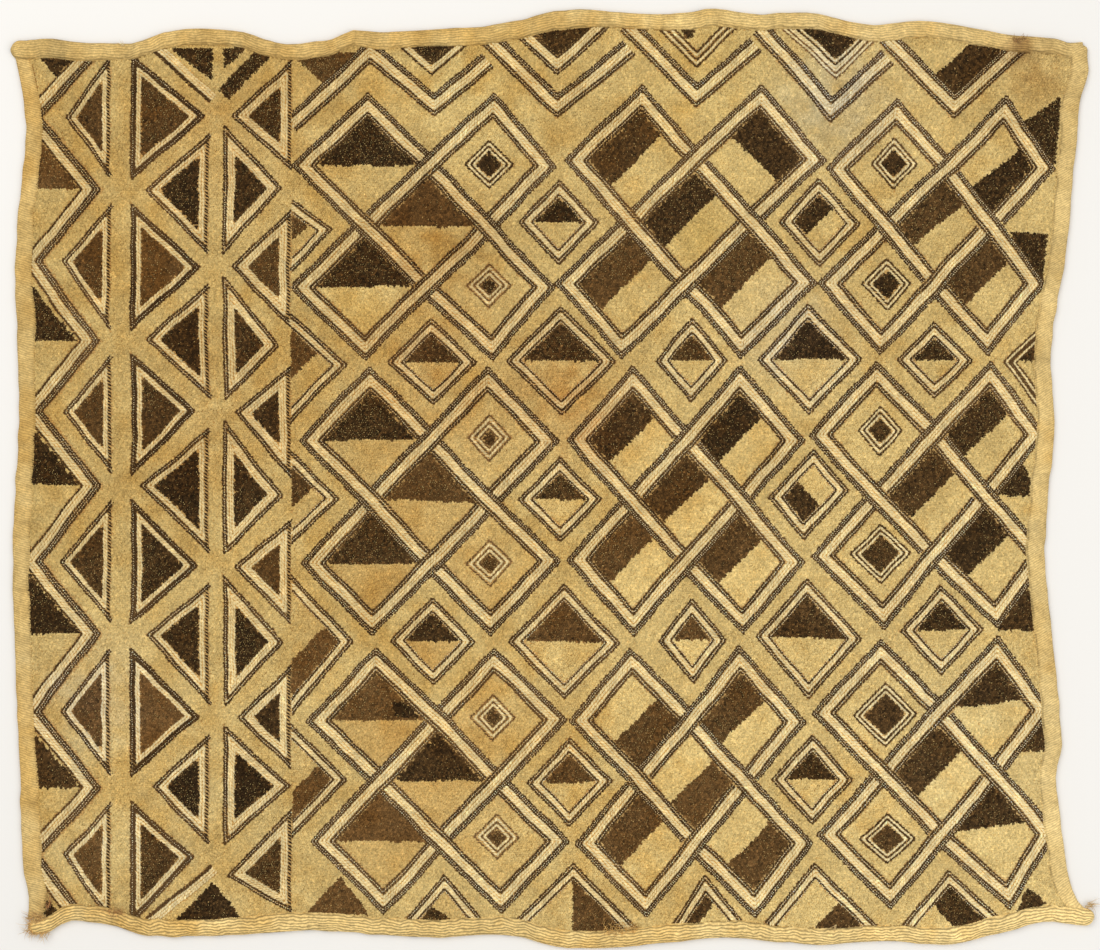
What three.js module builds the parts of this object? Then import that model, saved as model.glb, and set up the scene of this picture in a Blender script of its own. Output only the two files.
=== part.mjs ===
// A flat rectangular panel of woven raffia with cut-pile embroidery.
// Its uneven edge is turned over to the front as a rolled hem, and its underside lies flat.
// X runs along the long side, Y up the short side and Z out of the face.
import * as THREE from 'three';

// Driving dimensions, in millimetres
const PILE_TOP = 2.8; // ground cloth together with its short pile
const HEM_WIDTH = 10.4; // turned edge, seen from above
const HEM_CROWN = 4.4; // highest line of the rolled edge
const SECTION_PITCH = 6.5; // distance between two sections of the hem
const CORNER_REACH = 60; // length over which the hem's fold leans into a corner

// The hem's cross-section, from the flat underside round the outer edge to the pile.
// inset is a share of HEM_WIDTH, height a share of HEM_CROWN.
const HEM_SECTION = [
  { inset: 0.11, height: 0 },
  { inset: 0, height: 0.32 },
  { inset: 0.05, height: 0.66 },
  { inset: 0.22, height: 0.93 },
  { inset: 0.48, height: 1 },
  { inset: 0.78, height: 0.88 },
  { inset: 1, height: PILE_TOP / HEM_CROWN },
];

// The corners, each a rounded end of the hem. The columns are x and y from the panel's middle.
const BOTTOM_LEFT = [-297, -257];
const BOTTOM_RIGHT = [309, -249];
const TOP_RIGHT = [305, 246];
const TOP_LEFT = [-309, 245];

// The wavering edges between the corners, counter-clockwise, with the same columns.
const BOTTOM_EDGE = [
  [-292, -260],
  [-286, -258],
  [-275, -252],
  [-252, -254],
  [-230, -260],
  [-172, -259],
  [-144, -257],
  [-70, -261],
  [-24, -260],
  [10, -267],
  [67, -264],
  [101, -261],
  [147, -265],
  [190, -263],
  [227, -265],
  [249, -260],
  [284, -252],
  [297, -254],
  [306, -253],
];
const RIGHT_EDGE = [
  [304, -245],
  [299, -240],
  [294, -225],
  [288, -183],
  [287, -168],
  [290, -154],
  [287, -111],
  [281, -54],
  [281, -26],
  [286, 31],
  [284, 74],
  [293, 131],
  [298, 188],
  [301, 216],
  [305, 231],
];
const TOP_EDGE = [
  [297, 248],
  [286, 251],
  [263, 253],
  [240, 257],
  [212, 261],
  [183, 259],
  [144, 266],
  [115, 265],
  [92, 268],
  [69, 265],
  [42, 266],
  [12, 268],
  [-33, 259],
  [-102, 255],
  [-114, 256],
  [-126, 251],
  [-147, 248],
  [-159, 249],
  [-176, 255],
  [-216, 256],
  [-238, 249],
  [-273, 249],
  [-287, 251],
  [-305, 249],
];
const LEFT_EDGE = [
  [-306, 239],
  [-300, 202],
  [-305, 145],
  [-306, 117],
  [-304, 38],
  [-307, -26],
  [-307, -83],
  [-304, -154],
  [-301, -225],
  [-298, -240],
  [-299, -253],
];

// Each side of the panel: the way it runs, and its points from corner to corner.
const SIDES = [
  { along: new THREE.Vector3(1, 0, 0), rows: [BOTTOM_LEFT, ...BOTTOM_EDGE, BOTTOM_RIGHT] },
  { along: new THREE.Vector3(0, 1, 0), rows: [BOTTOM_RIGHT, ...RIGHT_EDGE, TOP_RIGHT] },
  { along: new THREE.Vector3(-1, 0, 0), rows: [TOP_RIGHT, ...TOP_EDGE, TOP_LEFT] },
  { along: new THREE.Vector3(0, -1, 0), rows: [TOP_LEFT, ...LEFT_EDGE, BOTTOM_LEFT] },
];

// The hem's sections along one side: each has its point on the edge and the way into the panel,
// which leans away from the nearer corner so that two sides meet there.
function sideSections({ along, rows }) {
  const points = rows.map(([x, y]) => new THREE.Vector3(x, y, 0));
  const curve = new THREE.CatmullRomCurve3(points, false, 'centripetal');
  const length = curve.getLength();
  const count = Math.round(length / SECTION_PITCH);
  return Array.from({ length: count }, (_, index) => {
    const share = index / count;
    const toCorner = length * Math.min(share, 1 - share);
    const lean = Math.max(0, 1 - toCorner / CORNER_REACH);
    const inward = new THREE.Vector3(-along.y, along.x, 0);
    inward.addScaledVector(along, share < 0.5 ? lean : -lean);
    return { point: curve.getPointAt(share), inward };
  });
}

// A ring of points round the panel, moved into it by a distance and lifted to a height.
function ringAt(sections, inset, height) {
  return sections.map(({ point, inward }) => point.clone().addScaledVector(inward, inset).setZ(height));
}

// The triangles between two neighbouring rings of equal size.
function stripBetween(low, high, size) {
  return Array.from({ length: size }, (_, i) => {
    const next = (i + 1) % size;
    return [low + i, low + next, high + next, low + i, high + next, high + i];
  }).flat();
}

// The closed panel: hem rings joined by strips, with a flat pile face and a flat underside inside them.
function panelGeometry() {
  const sections = SIDES.flatMap(sideSections);
  const size = sections.length;
  const rings = HEM_SECTION.map(({ inset, height }) =>
    ringAt(sections, inset * HEM_WIDTH, height * HEM_CROWN)
  );
  const lastRing = rings.length - 1;
  const strips = rings.slice(1).map((_, ring) => stripBetween(ring * size, (ring + 1) * size, size));
  const underside = THREE.ShapeUtils.triangulateShape(rings[0], []);
  const face = THREE.ShapeUtils.triangulateShape(rings[lastRing], []);

  const geometry = new THREE.BufferGeometry().setFromPoints(rings.flat());
  geometry.setIndex([
    ...strips.flat(),
    ...underside.flatMap(([a, b, c]) => [a, c, b]),
    ...face.flat().map((corner) => lastRing * size + corner),
  ]);
  geometry.computeBoundingBox();
  const middle = geometry.boundingBox.getCenter(new THREE.Vector3());
  geometry.translate(-middle.x, -middle.y, 0);
  geometry.computeVertexNormals();
  return geometry;
}

const raffia = new THREE.MeshStandardMaterial({
  name: 'raffia',
  color: 0xc4a05c,
  roughness: 0.92,
  metalness: 0,
});

const panel = new THREE.Mesh(panelGeometry(), raffia);
panel.name = 'raffia_panel';

const cloth = new THREE.Group();
cloth.name = 'kuba_raffia_cloth';
cloth.add(panel);

export default cloth;
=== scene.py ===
"""A cut-pile raffia cloth, laid flat and seen from above.

It has a woven ground, rolled hems, line stitches and cut pile. The pattern is charted in millimetres on the
cloth, x to the right and y up from its middle.
"""

import bpy
import numpy as np
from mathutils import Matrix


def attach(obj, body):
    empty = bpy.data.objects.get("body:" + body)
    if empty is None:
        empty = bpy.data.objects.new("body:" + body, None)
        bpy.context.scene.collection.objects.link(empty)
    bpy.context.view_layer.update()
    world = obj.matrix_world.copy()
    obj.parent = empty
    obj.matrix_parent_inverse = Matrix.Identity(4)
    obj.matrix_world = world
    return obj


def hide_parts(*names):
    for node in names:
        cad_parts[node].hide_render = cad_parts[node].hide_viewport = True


bl_info = {
    "name": "Cut-pile Raffia Cloth",
    "version": (1, 0, 0),
    "blender": (4, 5, 0),
    "location": "View3D > Sidebar > Raffia",
    "description": "Builds a raffia cloth with cut pile, line stitches and rolled hems",
    "category": "Object",
}

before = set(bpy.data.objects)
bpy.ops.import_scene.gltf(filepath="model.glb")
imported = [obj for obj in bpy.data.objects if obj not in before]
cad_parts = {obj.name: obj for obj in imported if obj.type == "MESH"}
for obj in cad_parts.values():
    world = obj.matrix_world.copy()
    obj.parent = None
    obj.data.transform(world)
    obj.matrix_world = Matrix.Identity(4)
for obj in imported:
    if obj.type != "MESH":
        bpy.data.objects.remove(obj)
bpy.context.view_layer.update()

PANEL = "raffia_panel"
BODY = "root"
MM = 0.001
SEED = 27

# The panel's outermost ring lies between these two heights, in millimetres.
EDGE_LOW = 1.2
EDGE_HIGH = 1.7

# Photo frame that the camera fills: its width on the cloth, and where its middle falls, in millimetres.
VIEW_WIDTH = 627.0
VIEW_MIDDLE = (-1.4, 2.0)
CAMERA_LENS = 90.0
SENSOR_WIDTH = 36.0


# The usual curve from screen values to linear light: a straight foot, and a power above it.
SCREEN_FOOT = 0.04045
FOOT_SLOPE = 12.92
SCREEN_SHIFT = 0.055
SCREEN_POWER = 2.4


def linear(red, green, blue):
    """A colour given in screen values from 0 to 255, as linear light."""
    share = np.array([red, green, blue]) / 255
    curve = ((share + SCREEN_SHIFT) / (1 + SCREEN_SHIFT)) ** SCREEN_POWER
    return tuple(np.where(share <= SCREEN_FOOT, share / FOOT_SLOPE, curve).tolist())


# Kinds of stitch.
DARK, BROWN, CREAM, FLECK, ROPE, HAIR = "dark", "brown", "cream", "fleck", "rope", "hair"

# Stitch rows across a band: distance from the band's line and kind of row. The outer side has three dark
# rows.
BROAD_BAND = (
    *((-4.5, DARK), (-3.75, FLECK), (-3.0, DARK)),
    *((-1.55, CREAM), (0.0, CREAM), (1.55, CREAM)),
    *((2.95, DARK), (3.5, FLECK), (4.05, DARK), (4.6, FLECK), (5.15, DARK)),
)
BROAD_HALF = 5.4
ZIGZAG_BAND = (
    *((-4.5, DARK), (-3.2, CREAM), (-1.7, CREAM), (-0.2, CREAM)),
    *((1.2, DARK), (1.85, FLECK), (2.5, DARK), (3.15, FLECK), (3.8, DARK)),
)
END_BAND = ((-2.7, DARK), (-1.8, DARK), (-0.5, CREAM), (1.0, CREAM), (2.4, CREAM))
END_HALF = 3.3

# Rows of closed outlines, each with its distance into the outline from the outer edge, and their whole
# width.
DOUBLE_ROW = ((0.45, DARK), (1.2, FLECK), (1.95, DARK))
RINGS = {
    "lozenge": ((*DOUBLE_ROW, (3.2, CREAM), (4.6, CREAM), (5.8, DARK), (6.4, FLECK)), 6.8),
    "narrow": ((*DOUBLE_ROW, (3.0, CREAM), (4.2, CREAM)), 4.9),
    "middling": ((*DOUBLE_ROW, (3.3, CREAM), (4.9, CREAM)), 5.9),
    "wide": ((*DOUBLE_ROW, (3.2, CREAM), (4.6, CREAM), (6.0, CREAM)), 6.7),
    "bold": (
        ((0.5, DARK), (1.3, DARK), (1.3, FLECK), (2.1, DARK), (2.7, DARK), (3.9, CREAM), (5.3, CREAM)),
        6.1,
    ),
    "split": (((0.5, DARK), (1.6, CREAM), (2.8, DARK), (3.6, DARK), (4.8, CREAM), (5.9, DARK)), 6.4),
    "broad": ((*DOUBLE_ROW, (3.2, CREAM), (4.7, CREAM), (6.2, CREAM), (7.5, DARK), (8.7, DARK)), 9.2),
    "plain": (((0.5, DARK), (2.0, CREAM), (3.5, CREAM), (5.0, DARK), (6.1, DARK)), 6.6),
    "fine": (((0.5, DARK), (2.0, CREAM), (3.5, DARK), (5.1, CREAM), (6.6, DARK)), 7.2),
    "crisp": (((0.45, DARK), (1.6, CREAM), (2.7, DARK), (3.8, CREAM)), 4.7),
    "soft": (((0.5, BROWN), (2.1, CREAM), (3.3, BROWN), (4.5, CREAM), (5.6, BROWN)), 6.3),
    "faded": (
        ((0.4, BROWN), (1.4, CREAM), (2.6, BROWN), (3.7, CREAM), (4.9, CREAM), (6.1, DARK), (7.3, CREAM)),
        8.2,
    ),
}
# Where the rope stitches lie along a triangle's base, how far they stop from its ends, and how far bare
# ground shows beside the rows.
ROPE_PLACE = 1.4
ROPE_END = 1.0
COVER_ROOM = 0.35

# Which way the dark side of a split field lies, and how far past the field's middle it begins.
DARK_SIDES = {
    "top": (0, 1, 0),
    "raised": (-0.12, 1, 4.5),
    "right": (1, 0, 0),
    "upper_left": (-1, 1, 0),
    "steep_upper_left": (-0.82, 0.57, 5),
    "higher": (0, 1, 4.5),
    "lower_right": (1, -1, 0),
    "low_lower_right": (0.6, -0.8, -0.5),
    "low_upper_left": (-0.64, 0.77, 0),
    "upper_right": (1, 1, 0),
    "lower_left": (-1, -1, 0),
}

# Interlaced knots. Columns: middle x, middle y, half width, half height, lean of the top to the right, half
# width at the outermost corners on the right, turning sense, then the fields and their tones (0 black, 9
# brown) in the order upper left, upper right, middle, lower left, lower right.
TOP_FIELDS = "top none top top none"
KNOTS = (
    (-70.1, 143.6, 71.7, 69.3, 0.5, 65.2, 1, TOP_FIELDS, "13622"),
    (79.1, 146.4, 68.0, 70.6, 5.2, 67.3, 1, "upper_left upper_right" + 3 * " upper_left", "42265"),
    (222.1, 143.8, 61.6, 65.8, 4.9, 55.1, 1, "none low_lower_right low_upper_left none upper_left", "31434"),
    (-69.8, -13.0, 66.7, 69.0, -1.0, 67.0, 1, TOP_FIELDS, "23632"),
    (77.0, -12.5, 62.0, 69.1, -0.5, 60.0, 1, 5 * "upper_left ", "31465"),
    (218.7, -9.4, 64.8, 68.3, -1.9, 56.7, 1, "none upper_left upper_left none upper_left", "42341"),
    (-64.7, -172.1, 66.9, 68.5, -2.2, 66.9, -1, TOP_FIELDS, "73282"),
    (80.0, -172.9, 61.8, 69.3, -4.2, 59.4, 1, 2 * "lower_right upper_left " + "lower_right", "65766"),
    (223.1, -167.9, 67.2, 69.7, -2.9, 56.5, 1, "none raised upper_left none raised", "42342"),
)
BROWN_TONE = 9
# Places further to the side than this share of a knot's half width take its own reach on the right.
KNOT_OUTER = 0.75
# A crossing's shares of the knot's four outer corners, each half of the one before.
CROSSING_SHARES = np.array((8, 4, 2, 1)) / 15

# Small nested lozenges in the knots' plain fields. Columns: middle x, middle y, half width, half height,
# ring, tone.
NESTS = (
    (-35.6, 178.8, 14.0, 14.2, "crisp", 1),
    (-36.5, 109.8, 13.4, 13.4, "soft", 2),
    (-36.2, 23.1, 13.0, 13.4, "soft", 4),
    (-36.2, -47.5, 13.8, 13.8, "soft", 5),
    (-34.5, -136.5, 13.4, 13.6, "soft", 4),
    (-31.1, -204.3, 13.4, 13.4, "soft", 5),
    (194.7, 179.9, 13.1, 15.4, "crisp", 2),
    (190.1, 110.9, 14.8, 15.1, "crisp", 1),
    (186.7, 27.1, 13.1, 14.3, "crisp", 3),
    (187.2, -42.4, 18.0, 17.4, "crisp", 3),
    (189.5, -134.2, 18.8, 18.8, "crisp", 3),
    (190.7, -204.9, 16.5, 14.8, "crisp", 4),
)

# Separate lozenges. Columns: middle x, middle y, half width, half height, pull to the upper right, dark
# side, tone.
LOZENGES = (
    (-68.7, 65.9, 25.7, 25.1, 0.0, "top", 4),
    (79.5, 67.3, 21.3, 24.2, 0.0, "top", 4),
    (217.5, 67.3, 22.2, 22.8, 0.0, "top", 1),
    (-68.1, -92.6, 24.8, 25.7, 0.0, "top", 2),
    (80.1, -92.6, 20.0, 24.7, 0.0, "top", 6),
    (221.7, -86.6, 24.5, 26.2, 0.0, "top", 1),
    (4.0, 146.5, 23.1, 24.2, 0.0, "top", 1),
    (151.9, 145.5, 23.9, 25.9, 0.0, "upper_left", 2),
    (4.8, -11.8, 24.3, 24.8, 0.0, "top", 3),
    (146.1, -8.4, 23.8, 26.0, 2.5, "lower_left", 2),
    (10.0, -172.8, 24.5, 25.4, 0.0, "top", 6),
    (147.9, -171.2, 23.4, 26.0, 0.0, "top", 2),
    (4.8, 67.0, 31.9, 31.4, 0.0, "top", 3),
    (146.5, 67.9, 30.0, 31.9, 0.0, "top", 1),
    (6.8, -93.1, 32.5, 32.8, 0.0, "top", 6),
    (145.6, -90.9, 30.3, 34.8, 0.0, "top", 3),
)
# The half lozenge that the right hem cuts: corners, dark side, tone.
CUT_LOZENGE = (((256.5, 66.3), (292.0, 17.0), (292.0, 99.0)), "higher", 2)

# Bands that hang from the top hem, each a line of x, y corners.
HANGING_BANDS = (
    ((-149.6, 201.6), (-104.0, 243.2), (-67.5, 213.0), (-36.8, 238.6)),
    ((-41.3, 255.7), (3.1, 211.8), (43.6, 245.5)),
    ((41.9, 258.6), (82.7, 218.1), (116.6, 247.2)),
    ((118.3, 256.9), (159.0, 210.4), (191.2, 240.3)),
    ((189.5, 252.3), (228.0, 212.1), (269.3, 247.7)),
)

# Small chevrons inside the hanging bands. Columns: tip x, tip y, rise for each unit across, ring, dark
# side, tone.
HANGING_TIPS = (
    (-68.7, 230.1, 0.84, "plain", "all", 1),
    (2.9, 229.3, 0.93, "broad", "all", 2),
    (82.4, 234.3, 0.95, "fine", "none", 3),
    (161.4, 228.0, 0.95, "faded", "all", 1),
)
HANGING_RISE = 40.0

# Peaks that stand on the bottom hem. Columns: tip x, tip y, foot on the left, foot on the right, dark side,
# tone.
STANDING_PEAKS = (
    (-61.3, -224.8, -101.0, -22.0, "none", 3),
    (12.3, -218.3, -41.0, 64.0, "right", 6),
    (87.5, -224.8, 56.0, 124.5, "steep_upper_left", 3),
    (148.8, -218.0, 105.6, 202.4, "lower_right", 4),
    (226.2, -222.0, 185.3, 277.9, "upper_right", 2),
)
PEAK_FOOT = -272.0

# Half lozenges against the border line. Columns: tip x, tip y, upper end y, lower end y, dark side, tone.
HALF_LOZENGES = (
    (-124.8, 142.0, 164.5, 109.2, "upper_left", 6),
    (-116.3, 64.6, 100.9, 23.7, "upper_left", 7),
    (-121.1, -11.4, 22.8, -43.2, "upper_left", 5),
    (-112.3, -92.0, -46.8, -143.6, "lower_right", 9),
    (-116.6, -171.8, -131.5, -211.9, "lower_right", 8),
)
HALF_LOZENGE_END = -155.3
BORDER_LINE = -148.5

# Dark bits without an outline: corners, then tone.
DARK_BITS = (
    (((-150.0, 243.5), (-112.0, 243.5), (-130.8, 225.0)), 6),
    (((-141.6, -248.7), (-104.0, -248.7), (-121.1, -226.0)), 8),
    (((289.8, 217.5), (268.8, 202.7), (285.9, 176.5)), 1),
    (((259.6, 140.6), (279.6, 112.6), (281.9, 139.4)), 1),
    (((267.5, 11.5), (249.0, -9.4), (272.2, -9.9), (272.7, -1.0)), 1),
    (((270.5, -61.5), (253.6, -83.0), (254.6, -87.4), (276.2, -87.4), (274.2, -68.5)), 2),
    (((261.3, -155.6), (275.4, -138.2), (280.7, -138.2), (280.7, -155.6)), 2),
    (((270.5, -232.8), (264.8, -246.5), (282.4, -243.0)), 2),
    (((-189.8, 220.9), (-184.4, 215.5), (-160.3, 240.2), (-169.5, 243.5)), 2),
    (((-187.8, 244.9), (-173.0, 246.0), (-186.7, 234.0)), 2),
    (((-217.5, 245.2), (-193.5, 245.2), (-193.5, 227.0)), 1),
    (((-215.0, -251.6), (-176.4, -251.6), (-193.9, -229.8)), 1),
    (((217.9, 230.8), (237.5, 247.8), (261.3, 244.3), (228.5, 215.6)), 2),
)
# Bits inside other fields, drawn last.
INNER_BITS = (
    (((-291.5, 239.7), (-273.3, 239.7), (-282.7, 228.3)), 2),
    (((-90.9, -127.9), (-90.9, -136.0), (-76.7, -136.5), (-78.0, -128.2)), 0),
    (((-80.0, -262.0), (-54.0, -262.0), (-55.6, -252.2), (-68.1, -243.6), (-79.0, -251.6)), 3),
    (((73.0, 256.0), (76.0, 249.6), (80.4, 251.5), (80.4, 256.0)), 2),
)

# Levels of the border's nodes, from the top down.
FIRST_BAR_LEVELS = (250.0, 165.1, 78.4, -3.6, -88.6, -175.8, -260.1)
SECOND_BAR_LEVELS = (292.0, 206.7, 120.6, 38.5, -49.2, -135.9, -215.1)
LINE_LEVELS = (251.7, 165.6, 76.2, -9.9, -92.6, -175.8, -257.3)
OUTER_LEVELS = (206.1, 124.0, 38.5, -47.5, -133.0, -213.4)

# Triangles of the border, column by column: x of the bases, x of the tips from the top down, levels of the
# bases' ends, room to the upper end, room to the lower end, levels of the tips, tones with - where there is
# none, ring, and whether rope stitches run along the base.
FIRST_TIPS = (-197.0, -199.5, -203.2, -201.8, -200.4, -203.8)
SECOND_TIPS = (-231.9, -231.9, -231.9, -235.1, -231.0, -228.3)
THIRD_TIPS = (-153.6, -153.6, -154.6, -152.8, -152.8, -148.9)
LINE_TIPS = (-182.7, -182.7, -181.0, -181.6, -180.0, -186.3)
OUTER_TIPS = (-278.0, -280.2, -279.0, -281.3, -280.2, -278.5)
BORDER_TRIANGLES = (
    (-240.3, FIRST_TIPS, FIRST_BAR_LEVELS, 7.0, 4.5, SECOND_BAR_LEVELS[1:], "584294", "bold", False),
    (-195.4, SECOND_TIPS, SECOND_BAR_LEVELS, 9.6, 6.6, FIRST_BAR_LEVELS, "-12120", "middling", True),
    (-187.4, THIRD_TIPS, SECOND_BAR_LEVELS, 4.2, 5.6, LINE_LEVELS, "-23210", "wide", False),
    (-148.6, LINE_TIPS, LINE_LEVELS, 12.5, 9.7, (*SECOND_BAR_LEVELS[1:-1], -226.5), "362524", "wide", True),
    (-251.6, OUTER_TIPS, FIRST_BAR_LEVELS, 8.0, 6.3, OUTER_LEVELS, "565478", "narrow", True),
)

# Short bands at the upper and lower end of the second bar, each a line of x, y corners.
BORDER_ENDS = (((-225.0, 245.8), (-193.0, 216.0)), ((-193.0, -222.2), (-230.0, -252.8)))

# The zigzag at the border's outer side: x at the first bar's levels and at the outer levels.
ZIGZAG_START = (-256.5, 250.0)
ZIGZAG_NEAR = -262.6
ZIGZAG_FAR = -296.5
ZIGZAG_TONES = "2821132"
ZIGZAG_SLOPE = 1.2
EDGE_FIELD_TIP = -270.0
EDGE_FIELD_END = -312.0


def length_property(name, description, millimetres):
    """A length that a user may change."""
    return bpy.props.FloatProperty(
        name=name, description=description, default=millimetres * MM, unit="LENGTH"
    )


class ClothSizes(bpy.types.PropertyGroup):
    """Sizes of the cloth's threads, pile and hems."""

    ground_top: length_property("Ground", "Thickness of the woven ground", 0.7)
    tuft_pitch: length_property("Tuft pitch", "Distance between two tufts of pile", 1.3)
    pile_top: length_property("Pile height", "Mean height of the pile above the underside", 2.5)
    stitch_top: length_property("Stitch height", "Height of the stitch rows above the underside", 2.0)
    hem_width: length_property("Hem width", "Width of the rolled hem", 10.0)
    hem_crown: length_property("Hem crown", "Height of the rolled hem", 4.2)


def colour_property(name, description, *screen):
    """A colour that a user may change, given in screen values."""
    return bpy.props.FloatVectorProperty(
        name=name, description=description, subtype="COLOR", size=3, min=0.0, max=1.0, default=linear(*screen)
    )


class ClothColours(bpy.types.PropertyGroup):
    """Colours of the raffia threads."""

    gold_pile: colour_property("Gold pile", "Undyed raffia of the pile", 215, 187, 122)
    black_pile: colour_property("Black pile", "Darkest dyed raffia of the pile", 54, 39, 20)
    brown_pile: colour_property("Brown pile", "Lightest dyed raffia of the pile", 125, 91, 50)
    cream_thread: colour_property("Cream thread", "Undyed stitch rows", 228, 207, 154)
    dark_thread: colour_property("Dark thread", "Dyed stitch rows", 75, 54, 27)
    brown_thread: colour_property("Brown thread", "Faded dyed stitch rows", 112, 84, 50)
    fleck_thread: colour_property("Fleck thread", "Undyed stitches between two dark rows", 240, 218, 174)
    hem_raffia: colour_property("Hem", "Woven raffia of the hems", 216, 185, 120)
    ground_raffia: colour_property("Ground", "Woven raffia of the ground", 196, 160, 100)
    floor: colour_property("Floor", "Plain studio floor", 232, 230, 226)


def panel_ring():
    """The panel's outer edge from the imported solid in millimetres, anticlockwise about its middle."""
    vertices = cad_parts[PANEL].data.vertices
    places = np.empty(len(vertices) * 3, np.float32)
    vertices.foreach_get("co", places)
    places = np.unique(np.round(places.reshape(-1, 3) / MM, 3), axis=0)
    edge = places[(places[:, 2] > EDGE_LOW) & (places[:, 2] < EDGE_HIGH), :2]
    return edge[np.argsort(np.arctan2(edge[:, 1], edge[:, 0]))]


def panel_sides():
    """The ring cut at its four corners: each side's points in the order of x or y, by the side's name."""
    ring = panel_ring()
    reach = np.abs(ring).max(0)
    ways = ((-1, -1), (1, -1), (1, 1), (-1, 1))
    starts = [int(np.argmax(ring @ (np.array(way) / reach))) for way in ways]
    sides = {}
    for name, first, last, axis in zip(
        ("bottom", "right", "top", "left"), starts, starts[1:] + starts[:1], (0, 1, 0, 1), strict=True
    ):
        count = (last - first) % len(ring) + 1
        side = ring[(first + np.arange(count)) % len(ring)]
        sides[name] = side[np.argsort(side[:, axis])]
    return sides


SIDES = panel_sides()


def edge_at(name, places):
    """A side's outer edge: y of the top or bottom at given x, or x of the left or right at given y."""
    along = 0 if name in ("top", "bottom") else 1
    side = SIDES[name]
    return np.interp(places, side[:, along], side[:, 1 - along])


def edge_room(points):
    """Each point's distance to the nearest of the four sides, measured along x or y."""
    x, y = points.T
    rooms = (edge_at("top", x) - y, y - edge_at("bottom", x), x - edge_at("left", y), edge_at("right", y) - x)
    return np.min(rooms, axis=0)


# Soft noise repeats after this many cells. Its cells are counted from far outside the cloth.
NOISE_CELLS = 97
NOISE_START = 300.0


def eased(share):
    """A share from 0 to 1 that starts and stops gently."""
    return share * share * (3 - 2 * share)


def between(first, last, share):
    """What lies a share of the way from the first to the last."""
    return first * (1 - share) + last * share


def soft_noise(points, wavelength, seed):
    """Smooth noise from -1 to 1: seeded values on a square lattice, eased between its corners."""
    table = np.random.default_rng(seed).uniform(-1, 1, (NOISE_CELLS, NOISE_CELLS))
    cell = points / wavelength + NOISE_START
    low = np.floor(cell).astype(int)
    ease = eased(cell - low)
    i, j = (low % NOISE_CELLS).T
    i_next, j_next = (i + 1) % NOISE_CELLS, (j + 1) % NOISE_CELLS
    near = between(table[i, j], table[i_next, j], ease[:, 0])
    far = between(table[i, j_next], table[i_next, j_next], ease[:, 0])
    return between(near, far, ease[:, 1])


def noise_sum(points, noises, seed=SEED):
    """The sum of soft noises, each given as its strength, its wavelength and a number added to the seed."""
    return sum(
        strength * soft_noise(points, wavelength, seed + extra) for strength, wavelength, extra in noises
    )


# How the hand strayed, along x and along y. Columns: strength and wavelength in millimetres, seed.
HAND_DRIFT = (((0.8, 45.0, 1), (0.45, 12.0, 3)), ((0.8, 45.0, 2), (0.45, 12.0, 4)))


def hand_drift(points):
    """How far the hand strayed from the chart at each point: a slow and a quick soft noise."""
    return np.stack([noise_sum(points, noises) for noises in HAND_DRIFT], 1)


def anticlockwise(corners):
    """A polygon's corners, turned to run anticlockwise."""
    corners = np.asarray(corners, float)
    x, y = corners.T
    area = np.dot(x, np.roll(y, -1)) - np.dot(y, np.roll(x, -1))
    return corners if area > 0 else corners[::-1]


def moved_sideways(path, distance, closed):
    """A path moved to its left by a distance: each corner goes where its two moved sides cross."""
    ahead = (np.roll(path, -1, 0) - path) if closed else np.diff(path, axis=0)
    ahead = ahead / np.linalg.norm(ahead, axis=1, keepdims=True)
    left = np.stack([-ahead[:, 1], ahead[:, 0]], 1)
    before = np.roll(left, 1, 0) if closed else np.vstack([left[:1], left])
    after = left if closed else np.vstack([left, left[-1:]])
    mitre = before + after
    return path + distance * mitre / (mitre * before).sum(1, keepdims=True)


def inside(points, corners):
    """Which points lie in a convex polygon: left of each of its sides."""
    ahead = np.roll(corners, -1, 0) - corners
    kept = np.ones(len(points), bool)
    for corner, (dx, dy) in zip(corners, ahead, strict=True):
        kept &= dx * (points[:, 1] - corner[1]) - dy * (points[:, 0] - corner[0]) >= 0
    return kept


class Chart:
    """The pattern on the cloth: fields of pile, the ground that stitches cover, and rows of stitches."""

    def __init__(self):
        self.fields = []
        self.covers = []
        self.rows = []

    def field(self, corners, side, tone, part="field"):
        """A polygon of pile. side is all, none or where its dark part lies, split near the middle."""
        self.fields.append((anticlockwise(corners), side, int(tone), part))

    def cover(self, one, other, closed, part):
        """Marks the strip between two equal paths as stitched."""
        turns = len(one) if closed else len(one) - 1
        for i in range(turns):
            j = (i + 1) % len(one)
            self.covers.append((anticlockwise([one[i], one[j], other[j], other[i]]), part))

    def band(self, path, rows, half, part):
        """An open band along a line of corners."""
        path = np.asarray(path, float)
        reach = half + COVER_ROOM
        self.cover(moved_sideways(path, -reach, False), moved_sideways(path, reach, False), False, part)
        for distance, kind in rows:
            self.rows.append((kind, moved_sideways(path, distance, False), False, part))

    def ring(self, corners, name, part="field", start=0.0):
        """A closed band inside an outline, with its rows after a start. Gives back what is left within it."""
        rows, width = RINGS[name]
        outline = anticlockwise(corners)
        outer, inner = (moved_sideways(outline, reach, True) for reach in (-COVER_ROOM, width + COVER_ROOM))
        self.cover(outer, inner, True, part)
        for distance, kind in rows:
            if distance > start:
                self.rows.append((kind, moved_sideways(outline, distance, True), True, part))
        return moved_sideways(outline, width, True)


def lozenge(x, y, half_width, half_height, pull=0.0):
    """A lozenge's corners, anticlockwise from the right, pulled to the upper right and the lower left."""
    right, top = np.array((half_width, pull)), np.array((pull, half_height))
    return np.array((x, y)) + np.array((right, top, -right, -top))


def trimmed(path, length):
    """A path with a length taken off both of its ends."""
    path = np.array(path, float)
    for here, there in ((0, 1), (-1, -2)):
        way = path[there] - path[here]
        path[here] += way * length / np.linalg.norm(way)
    return path


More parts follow.
